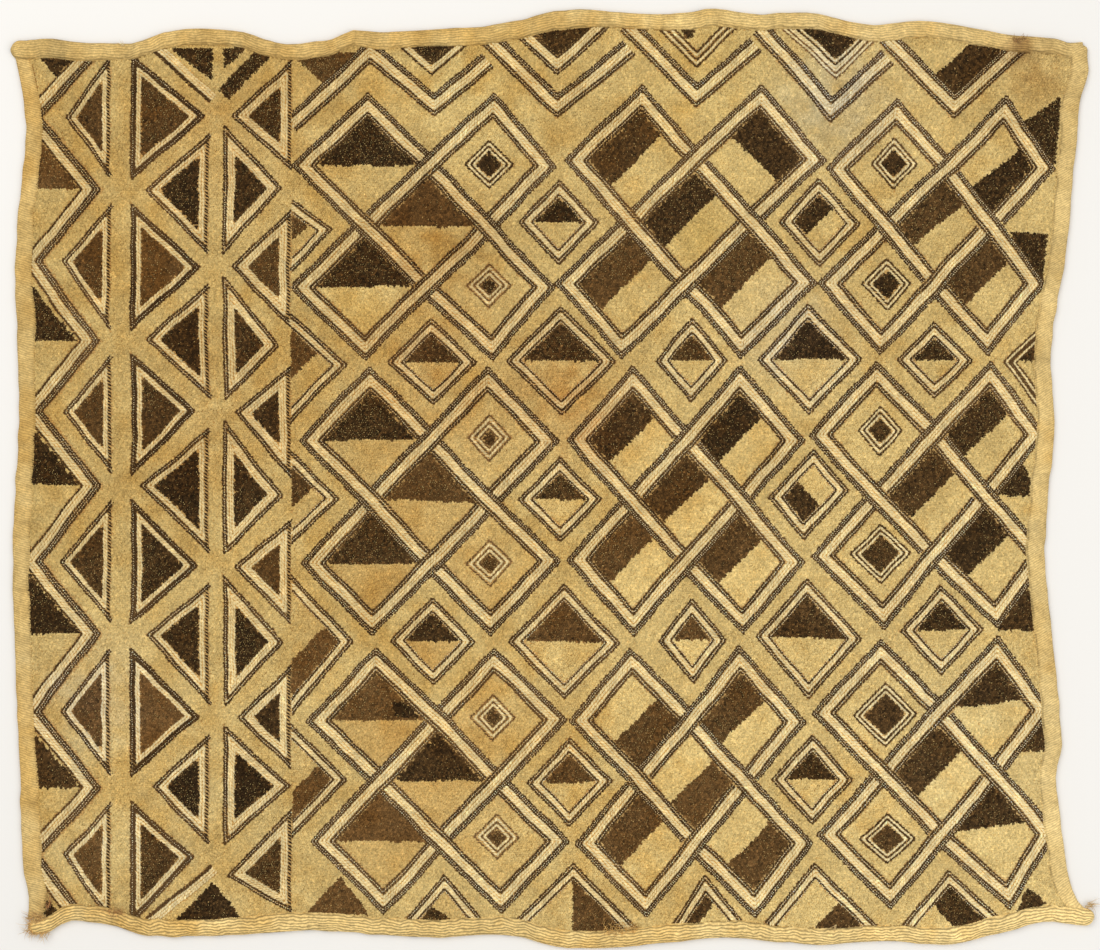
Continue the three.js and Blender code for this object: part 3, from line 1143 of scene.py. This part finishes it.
class RAFFIA_OT_ground_cloth(bpy.types.Operator):
    """Woven ground: a thin closed sheet under the pile and the hems"""

    bl_idname = "raffia.ground_cloth"
    bl_label = "Ground cloth"

    def execute(self, context):
        sizes, colours = context.scene.raffia_sizes, context.scene.raffia_colours
        plan = ground_plan(GROUND_COLUMNS, GROUND_ROWS).reshape(-1, 2)
        size = len(plan)
        upper = np.column_stack([plan, np.full(size, sizes.ground_top / MM)])
        lower = np.column_stack([plan, np.zeros(size)])
        points = np.concatenate([upper, lower])
        face = grid_faces(GROUND_ROWS, GROUND_COLUMNS)
        index = np.arange(size).reshape(GROUND_ROWS, GROUND_COLUMNS)
        rim = np.concatenate([index[0, :-1], index[:-1, -1], index[-1, :0:-1], index[:0:-1, 0]])
        after = np.roll(rim, -1)
        wall = np.stack([rim + size, after + size, after, rim], 1)
        faces = np.concatenate([face, face[:, ::-1] + size, wall])
        tints = aged(np.broadcast_to(colours.ground_raffia, points.shape), points[:, :2])
        material = woven_material("Woven raffia")
        piece = add_mesh("ground_cloth", points, faces, material, tints, cloth_place=points)
        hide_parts(PANEL)
        return {"FINISHED"}


# Hems. Columns: side, its first and last place along x or y, strength of the seam line's painted shade, how
# square its first and its last end are, share of the full height, slant of the threads, light, material. An
# end of 0 goes under a neighbour.
HEMS = (
    ("left", -250.0, 242.0, 0.2, 0, 0, 0.74, -0.35, 0.97, "Fine hem raffia"),
    ("right", -246.0, 246.5, 0.6, 0, 5, 0.84, 0.55, 0.96, "Fine hem raffia"),
    ("top", -308.5, 302.0, 0.5, 2, 0, 1.0, 0.0, 0.98, "Smooth hem raffia"),
    ("bottom", -298.5, 308.5, 0.3, 2, 2, 1.0, 0.0, 1.03, "Lined hem raffia"),
)
HEM_SEED = SEED + 100
HEM_SEED_STEP = 20
# Mesh of a hem: distance between two sections, points across its top and its floor, and how far these
# reach.
HEM_STEP = 0.9
HEM_LANES = 21
HEM_FLOOR_LANES = 5
TOP_REACH = 0.98
FLOOR_REACH = 0.86
# Plan of a hem, in millimetres: noises in its width and its course, its room to the panel's edge, how far
# from its ends a long hem stops following the edge, and over what length a hidden end sinks to what share
# of its height.
HEM_WIDTH_NOISES = ((0.1, 46.0, 0), (0.06, 14.0, 1))
HEM_SWAY = ((0.45, 8.0, 8),)
HEM_ROOM = 0.15
HEM_HOLD = 9.0
SINK_LENGTH = 16.0
SINK_SHARE = 0.55
NARROWEST_END = 0.03
# Section of a hem: height at its foot, two powers of the arch, share of the height left at a round end,
# lowest height, and how far noise may lift it.
HEM_FOOT = 1.3
ARCH_POWERS = (2.4, 0.6)
END_HEIGHT = 0.35
LOWEST_HEM = 0.3
HEM_LIFT = 0.18
# Creases. Columns: stretch across the hem, wavelength, seed, width in noise, strength.
CREASES = ((0.3, 15.0, 2, 0.06, 1.0), (2.2, 24.0, 3, 0.05, 0.6))
# Noises with strength, stretch across the hem, wavelength and seed: wrinkles in height, spots in light, and
# gaps in the seam.
WRINKLES = ((0.16, 0.7, 5.0, 5),)
HEM_SPOTS = ((0.09, 1.0, 2.6, 6), (0.08, 0.6, 17.0, 7))
SEAM_GAPS = ((1.0, 0.1, 3.0, 4),)
SEAM_PLACE = 0.84
SEAM_WIDTH = 0.06
SEAM_MEAN = 0.6
# Depth of creases and of the seam in millimetres, then how much darker creases, rims and the floor are: all
# three darkenings are painted shade.
CREASE_DEPTH = 0.26
SEAM_DEPTH = 0.3
CREASE_SHADE = 0.12
RIM_SHADE = 0.1
HEM_FLOOR_PAINTED_SHADE = 0.9


class RAFFIA_OT_rolled_hems(bpy.types.Operator):
    """Rolled hems: the ground turned over at the edge, creased, with a seam along the inner side"""

    bl_idname = "raffia.rolled_hems"
    bl_label = "Rolled hems"

    def execute(self, context):
        sizes, colours = context.scene.raffia_sizes, context.scene.raffia_colours
        for number, (name, *shape, light, look) in enumerate(HEMS):
            seed = HEM_SEED + HEM_SEED_STEP * number
            points, faces, spots_and_painted_shade, place = hem_surface(name, *shape, sizes, seed)
            base = np.array(colours.hem_raffia)[None] * (light * spots_and_painted_shade)[:, None]
            tints = aged(base, points[:, :2])
            add_mesh(f"hem_{name}", points, faces, woven_material(look), tints, cloth_place=place)
        return {"FINISHED"}


def end_width(distance, square):
    """A hem's share of its width near an end: a half round, squarer for larger numbers, or full for 0."""
    if not square:
        return np.ones_like(distance)
    near = np.clip(distance, NARROWEST_END, 1)
    return (1 - (1 - near) ** square) ** (1 / square)


def hem_surface(name, first, last, seam, first_end, last_end, rise, slant, sizes, seed):
    """A hem as a closed profile carried along its side.

    Across the hem the top is a flattened arch. Its width wavers along the side. Soft noise gives it wrinkles,
    and narrow creases run where another noise is near zero. An end that goes under a neighbour sinks.
    """
    lengthwise = name in ("top", "bottom")
    sign = 1 if name in ("bottom", "left") else -1
    crown = rise * sizes.hem_crown / MM
    stations = np.linspace(first, last, int((last - first) / HEM_STEP))
    line = np.column_stack([stations, np.zeros_like(stations)])
    half = 0.5 * sizes.hem_width / MM * (1 + noise_sum(line, HEM_WIDTH_NOISES, seed))
    held = np.clip(stations, first + HEM_HOLD, last - HEM_HOLD) if lengthwise else stations
    middle = edge_at(name, held) + sign * (half + HEM_ROOM + noise_sum(line, HEM_SWAY, seed))
    width, sink = np.ones((2, len(stations)))
    for distance, end in ((stations - first, first_end), (last - stations, last_end)):
        width *= end_width(distance / half, end)
        sink *= 1 if end else between(SINK_SHARE, 1, eased(np.clip(distance / SINK_LENGTH, 0, 1)))
    w_top = np.sin(np.linspace(-1, 1, HEM_LANES) * np.pi / 2 * TOP_REACH)
    w_low = np.linspace(FLOOR_REACH, -FLOOR_REACH, HEM_FLOOR_LANES)
    s, w = np.meshgrid(stations, w_top, indexing="ij")
    flat = np.column_stack([s.ravel(), (w * half[:, None]).ravel()])

    def noise(stretch, wavelength, number):
        return soft_noise(flat * (1.0, stretch), wavelength, seed + number).reshape(s.shape)

    def noises(rows):
        return sum(strength * noise(*row) for strength, *row in rows)

    crease = sum(
        strength * np.exp(-((noise(*row) / thickness) ** 2)) for *row, thickness, strength in CREASES
    )
    seam_line = np.exp(-(((w - SEAM_PLACE) / SEAM_WIDTH) ** 2)) * np.clip(SEAM_MEAN + noises(SEAM_GAPS), 0, 1)
    flatness, roundness = ARCH_POWERS
    arch = HEM_FOOT + (crown - HEM_FOOT) * (1 - np.abs(w_top) ** flatness) ** roundness
    height = arch[None] * (between(END_HEIGHT, 1, width) * sink)[:, None]
    height += (1 - np.abs(w) ** 4) * (noises(WRINKLES) - CREASE_DEPTH * crease) - SEAM_DEPTH * seam_line
    height = np.clip(height, LOWEST_HEM, crown + HEM_LIFT)
    # Painted shade: darker in the creases, towards the rims and along the seam line.
    spots_and_painted_shade = 1 + noises(HEM_SPOTS) - CREASE_SHADE * crease - RIM_SHADE * np.abs(w) ** 8
    spots_and_painted_shade *= 1 - seam * seam_line
    low = np.zeros((len(stations), HEM_FLOOR_LANES))
    across = np.concatenate([w, np.broadcast_to(w_low, low.shape)], 1) * half[:, None]
    z = np.concatenate([height, low], 1)
    lateral = middle[:, None] + sign * across * width[:, None]
    path = np.broadcast_to(stations[:, None], lateral.shape)
    plan = (path, lateral) if lengthwise else (lateral, path)
    points = np.stack([*plan, z], -1).reshape(-1, 3)
    place = (path, sign * across) if lengthwise else (sign * across, path - slant * sign * across)
    place = np.stack([*place, np.zeros_like(z)], -1).reshape(-1, 3)
    # The underside gets painted shade.
    spots_and_painted_shade = np.concatenate([spots_and_painted_shade, np.full(low.shape, HEM_FLOOR_PAINTED_SHADE)], 1).ravel()
    ring = HEM_LANES + HEM_FLOOR_LANES
    faces = np.concatenate([grid_faces(len(stations), ring, wrap=True), end_caps(len(stations), ring)])
    facing = sign * (1 if lengthwise else -1)
    return points, faces if facing > 0 else faces[:, ::-1], spots_and_painted_shade, place


def end_caps(count, ring):
    """Quads that close both ends of a swept profile, which has an even number of points."""
    lanes = np.arange(ring // 2 - 1)
    first = np.stack([lanes, ring - 1 - lanes, ring - 2 - lanes, lanes + 1], 1)
    last = first[:, ::-1] + (count - 1) * ring
    return np.concatenate([first[:, ::-1], last[:, ::-1]])


# Threads of the stitch rows. Columns: kind, its colour, how uneven that is, share of the stains it takes
# up.
ROW_THREADS = (
    (DARK, "dark_thread", 0.22, 1.0),
    (BROWN, "brown_thread", 0.22, 1.0),
    (CREAM, "cream_thread", 0.1, 0.4),
    (FLECK, "fleck_thread", 0.2, 1.0),
    (ROPE, "black_pile", 0.2, 1.0),
)
STITCH_SEED = SEED + 40
STITCH_TINT_SEED = SEED + 50
# Where dark rows have faded to brown: strength, wavelength and seed of the noise.
FADING = ((0.6, 38.0, 60),)


class RAFFIA_OT_line_stitches(bpy.types.Operator):
    """Line stitches: rows of small slanted stitches, with light flecks between dark rows"""

    bl_idname = "raffia.line_stitches"
    bl_label = "Line stitches"

    def execute(self, context):
        sizes, colours = context.scene.raffia_sizes, context.scene.raffia_colours
        chart = draw_pattern()
        material = thread_material("Stitch thread")
        for number, (kind, colour, spread, take) in enumerate(ROW_THREADS):
            places, headings = stitch_places(chart, kind)
            points, faces = stitch_mesh(places, headings, kind, sizes, STITCH_SEED + number)
            rng = np.random.default_rng(STITCH_TINT_SEED + number)
            tints = shaded(getattr(colours, colour), len(places), rng, spread)
            if kind == DARK:
                faded = np.clip(noise_sum(places, FADING), 0, 1)[:, None]
                tints = between(tints, np.array(colours.brown_thread), faded)
            tints = np.repeat(aged(tints, places, take), len(STITCH_SHAPE), 0)
            add_mesh(f"stitches_{kind}", points, faces, material, tints, shelf_map(len(places), STITCH_SHELF))
        return {"FINISHED"}


# Spread of the gold pile's light, and how light a tuft's feet are next to its tip: painted shade deep
# between the tufts.
GOLD_SPREAD = 0.09
GOLD_FOOT_PAINTED_SHADE = 0.85
DARK_FOOT_PAINTED_SHADE = 0.75
# Spread of the dark pile's tone and light.
TONE_SPREAD = 0.18
DARK_SPREAD = 0.2
PILE_TINT_SEED = SEED + 70
TUFT_SEED = SEED + 80


class RAFFIA_OT_cut_pile(bpy.types.Operator):
    """Cut pile: thousands of short tufts, gold and dark, sorted by the chart"""

    bl_idname = "raffia.cut_pile"
    bl_label = "Cut pile"

    def execute(self, context):
        sizes, colours = context.scene.raffia_sizes, context.scene.raffia_colours
        chart = draw_pattern()
        places = pile_places(sizes)
        dark, tone, taken, celled = sort_pile(chart, places)
        half = np.median(places[~taken & ~dark, 0])
        groups = {
            "pile_gold_left": ~taken & ~dark & (places[:, 0] < half),
            "pile_gold_right": ~taken & ~dark & (places[:, 0] >= half),
            "pile_dark": ~taken & dark,
        }
        for number, (name, chosen) in enumerate(groups.items()):
            spots = places[chosen]
            rng = np.random.default_rng(PILE_TINT_SEED + number)
            if name == "pile_dark":
                tints = aged(dark_tints(tone[chosen], colours, rng), spots)
                look, foot = "Dark cut pile", DARK_FOOT_PAINTED_SHADE
            else:
                tints = aged(shaded(colours.gold_pile, len(spots), rng, GOLD_SPREAD), spots)
                tints = np.where(celled[chosen][:, None], tints * cell_light(spots), tints)
                look, foot = "Gold cut pile", GOLD_FOOT_PAINTED_SHADE
            points, faces = tuft_mesh(spots, sizes, TUFT_SEED + number)
            # Painted shade: each tuft's feet are darker than its tip, for the shadow deep in the pile.
            feet_and_tip_painted_shade = np.array((foot, foot, foot, 1.0))
            shades = np.clip(tints[:, None, :] * feet_and_tip_painted_shade[None, :, None], 0, 1).reshape(-1, 3)
            add_mesh(name, points, faces, thread_material(look), shades, shelf_map(len(spots), TUFT_SHELF))
        add_hairs(places[groups["pile_dark"]], sizes, colours)
        return {"FINISHED"}


def dark_tints(tone, colours, rng):
    """Colours of dark tufts: from black to brown by the field's tone, uneven."""
    share = np.clip(tone + rng.normal(0, TONE_SPREAD, len(tone)), 0, 1)[:, None]
    tints = between(np.array(colours.black_pile), np.array(colours.brown_pile), share)
    return tints * np.exp(rng.normal(0, DARK_SPREAD, len(tone)))[:, None]


# Pale hairs: mean share of dark tufts that have one, its noise and limits, then the hairs' light.
HAIR_SHARE = 0.3
HAIR_MEAN = 0.9
HAIR_NOISES = ((1.4, 26.0, 91),)
HAIR_LIMITS = (0.15, 2)
HAIR_LIGHT = (0.2, 0.85)
HAIR_POWER = 1.4
HAIR_SEED = SEED + 90
HAIR_MESH_SEED = SEED + 92


def add_hairs(spots, sizes, colours):
    """Pale hairs among the dark tufts, turned any way and more of them in some places than in others."""
    rng = np.random.default_rng(HAIR_SEED)
    chance = HAIR_SHARE * np.clip(HAIR_MEAN + noise_sum(spots, HAIR_NOISES), *HAIR_LIMITS)
    spots = spots[rng.random(len(spots)) < chance]
    points, faces = stitch_mesh(spots, rng.uniform(0, np.pi, len(spots)), HAIR, sizes, HAIR_MESH_SEED)
    darkest, growth = HAIR_LIGHT
    tints = np.array(colours.gold_pile) * (darkest + growth * rng.random((len(spots), 1)) ** HAIR_POWER)
    tints = np.repeat(tints, len(STITCH_SHAPE), 0)
    material = thread_material("Dark cut pile")
    add_mesh("pale_hairs", points, faces, material, tints, shelf_map(len(spots), STITCH_SHELF))


# Loose fibres. Columns: x, y, reach along x and y, height, heading and its spread in degrees, length,
# count, colour in screen values.
FIBRE_SPOTS = (
    (-291.5, -253.5, 6.0, 5.5, 3.2, 205.0, 60.0, 6.0, 190, (214, 178, 114)),
    (-294.0, -253.0, 4.0, 5.0, 3.5, 215.0, 50.0, 4.4, 40, (186, 144, 84)),
    (304.5, -243.0, 2.0, 1.5, 2.4, 5.0, 28.0, 6.0, 22, (216, 184, 130)),
    (-244.0, 246.5, 0.8, 0.6, 3.6, 125.0, 16.0, 4.6, 6, (232, 208, 160)),
    (161.0, -253.5, 0.8, 0.6, 3.4, 250.0, 20.0, 8.0, 5, (220, 190, 136)),
    (265.0, 249.0, 4.0, 1.6, 4.0, 20.0, 60.0, 3.2, 44, (156, 116, 66)),
    (39.0, -257.0, 9.5, 3.6, 3.7, 20.0, 70.0, 3.0, 120, (216, 172, 96)),
    (-252.0, -247.5, 6.5, 2.4, 3.7, 15.0, 60.0, 3.4, 70, (184, 136, 76)),
    (-287.0, -242.0, 1.2, 4.0, 3.5, 80.0, 15.0, 4.0, 22, (170, 120, 70)),
)
# A fibre: points along it, its radius and corners, chance in its length, its curl, the height of its arch,
# how far its tip drops and how much it tapers.
FIBRE_STATIONS = 5
FIBRE_RADIUS = 0.2
FIBRE_TURNS = np.radians((90, 210, 330))
FIBRE_LENGTHS = (0.5, 1.3)
FIBRE_CURL = 0.3
FIBRE_ARCH = (0.2, 0.9)
FIBRE_DROP = 0.8
FIBRE_TAPER = 0.85
FIBRE_SPREAD = 0.2
FIBRE_SEED = SEED + 200


def fibre_mesh(x, y, reach_x, reach_y, height, heading, spread, length, count, rng):
    """Thin curved strands with a three-sided section that tapers, lying near one height, arched a little."""
    share = np.linspace(0, 1, FIBRE_STATIONS)[None, :]
    way = np.radians(heading + rng.normal(0, spread, count))[:, None]
    reach = length * rng.uniform(*FIBRE_LENGTHS, count)[:, None]
    curl = reach * rng.normal(0, FIBRE_CURL, count)[:, None]
    ahead, aside = reach * share, curl * share**2
    start_x = x + reach_x * rng.uniform(-1, 1, count)[:, None]
    start_y = y + reach_y * rng.uniform(-1, 1, count)[:, None]
    middle_x = start_x + ahead * np.cos(way) - aside * np.sin(way)
    middle_y = start_y + ahead * np.sin(way) + aside * np.cos(way)
    arch = rng.uniform(*FIBRE_ARCH, count)[:, None] * np.sin(np.pi * share)
    middle_z = height + arch - FIBRE_DROP * share
    radius = FIBRE_RADIUS * (1 - FIBRE_TAPER * share)[..., None]
    side, up = radius * np.cos(FIBRE_TURNS), radius * np.sin(FIBRE_TURNS)
    rings = (
        middle_x[..., None] - side * np.sin(way)[..., None],
        middle_y[..., None] + side * np.cos(way)[..., None],
        middle_z[..., None] + up,
    )
    points = np.stack(np.broadcast_arrays(*rings), -1).reshape(-1, 3)
    corners = len(FIBRE_TURNS)
    quads = grid_faces(FIBRE_STATIONS, corners, wrap=True)
    last = corners * (FIBRE_STATIONS - 1)
    caps = np.array(((0, 2, 1), (last, last + 1, last + 2)))
    faces = np.concatenate([quads[:, :3], quads[:, (0, 2, 3)], caps])
    return points, repeated(faces, corners * FIBRE_STATIONS, count)


class RAFFIA_OT_loose_fibres(bpy.types.Operator):
    """Loose fibres: frayed hem ends, stray threads and worn fuzz on the hems"""

    bl_idname = "raffia.loose_fibres"
    bl_label = "Loose fibres"

    def execute(self, context):
        rng = np.random.default_rng(FIBRE_SEED)
        points, faces, tints, total = [], [], [], 0
        for *place, screen in FIBRE_SPOTS:
            count = place[-1]
            strands, strand_faces = fibre_mesh(*place, rng)
            points.append(strands)
            faces.append(strand_faces + total)
            shades = shaded(linear(*screen), count, rng, FIBRE_SPREAD)
            tints.append(np.repeat(shades, len(strands) // count, 0))
            total += len(strands)
        points, faces, tints = (np.concatenate(rows) for rows in (points, faces, tints))
        add_mesh("loose_fibres", points, faces, thread_material("Loose fibre"), tints)
        return {"FINISHED"}


# Studio, in metres: the floor's half width and how far it lies below the cloth, its roughness, and the sky.
FLOOR_HALF = 3.0
FLOOR_DROP = 0.0005
FLOOR_ROUGHNESS = 0.9
SKY_COLOUR = (1.0, 0.985, 0.96, 1)
SKY_STRENGTH = 0.62
# Lights that look at the cloth's middle. Columns: name, place, power, size.
LIGHTS = (
    ("key_light", (-0.8, 0.8, 1.5), 15.0, 1.2),
    ("fill_light", (0.9, -0.4, 1.5), 12.0, 1.6),
)


def add_floor(scene, colour):
    """A plain pale floor under the cloth."""
    material = bpy.data.materials.new("Studio floor")
    material.use_nodes = True
    shader = material.node_tree.nodes["Principled BSDF"]
    shader.inputs["Base Color"].default_value = (*colour, 1)
    shader.inputs["Roughness"].default_value = FLOOR_ROUGHNESS
    mesh = bpy.data.meshes.new("floor")
    corners = [(x * FLOOR_HALF, y * FLOOR_HALF, 0) for x, y in ((-1, -1), (1, -1), (1, 1), (-1, 1))]
    mesh.from_pydata(corners, [], [(0, 1, 2, 3)])
    mesh.materials.append(material)
    floor = bpy.data.objects.new("floor", mesh)
    floor.location.z = -FLOOR_DROP
    scene.collection.objects.link(floor)


def add_lights(scene):
    """An even sky and two soft lights."""
    scene.world = bpy.data.worlds.new("Studio")
    scene.world.use_nodes = True
    sky = scene.world.node_tree.nodes["Background"]
    sky.inputs["Color"].default_value = SKY_COLOUR
    sky.inputs["Strength"].default_value = SKY_STRENGTH
    for name, place, power, size in LIGHTS:
        lamp = bpy.data.lights.new(name, "AREA")
        lamp.energy = power
        lamp.size = size
        light = bpy.data.objects.new(name, lamp)
        light.location = place
        light.rotation_euler = (-light.location).to_track_quat("-Z", "Y").to_euler()
        scene.collection.objects.link(light)


class RAFFIA_OT_studio(bpy.types.Operator):
    """Studio: pale floor, soft light and a camera straight above the cloth"""

    bl_idname = "raffia.studio"
    bl_label = "Studio"

    def execute(self, context):
        scene = context.scene
        add_floor(scene, scene.raffia_colours.floor)
        add_lights(scene)
        view = bpy.data.cameras.new("camera")
        view.lens = CAMERA_LENS
        view.sensor_width = SENSOR_WIDTH
        camera = bpy.data.objects.new("camera", view)
        distance = VIEW_WIDTH * MM * CAMERA_LENS / SENSOR_WIDTH
        camera.location = (VIEW_MIDDLE[0] * MM, VIEW_MIDDLE[1] * MM, distance)
        scene.collection.objects.link(camera)
        scene.camera = camera
        scene.view_settings.view_transform = "Standard"
        return {"FINISHED"}


class RAFFIA_PT_panel(bpy.types.Panel):
    """Sidebar panel with the cloth's sizes, colours and pieces"""

    bl_label = "Raffia cloth"
    bl_idname = "RAFFIA_PT_panel"
    bl_space_type = "VIEW_3D"
    bl_region_type = "UI"
    bl_category = "Raffia"

    def draw(self, context):
        for group in (context.scene.raffia_sizes, context.scene.raffia_colours):
            for name in group.__annotations__:
                self.layout.prop(group, name)
        for operator in OPERATORS:
            self.layout.operator(operator.bl_idname)


OPERATORS = (
    RAFFIA_OT_ground_cloth,
    RAFFIA_OT_rolled_hems,
    RAFFIA_OT_line_stitches,
    RAFFIA_OT_cut_pile,
    RAFFIA_OT_loose_fibres,
    RAFFIA_OT_studio,
)
CLASSES = (ClothSizes, ClothColours, *OPERATORS, RAFFIA_PT_panel)


def register():
    """Adds the classes and the scene's settings to Blender."""
    for cls in CLASSES:
        bpy.utils.register_class(cls)
    bpy.types.Scene.raffia_sizes = bpy.props.PointerProperty(type=ClothSizes)
    bpy.types.Scene.raffia_colours = bpy.props.PointerProperty(type=ClothColours)


def unregister():
    """Takes the settings and the classes out again."""
    del bpy.types.Scene.raffia_colours
    del bpy.types.Scene.raffia_sizes
    for cls in reversed(CLASSES):
        bpy.utils.unregister_class(cls)


def main():
    """Builds the cloth and the studio."""
    register()
    bpy.ops.raffia.ground_cloth()
    bpy.ops.raffia.rolled_hems()
    bpy.ops.raffia.line_stitches()
    bpy.ops.raffia.cut_pile()
    bpy.ops.raffia.loose_fibres()
    bpy.ops.raffia.studio()


if __name__ == "__main__":
    main()
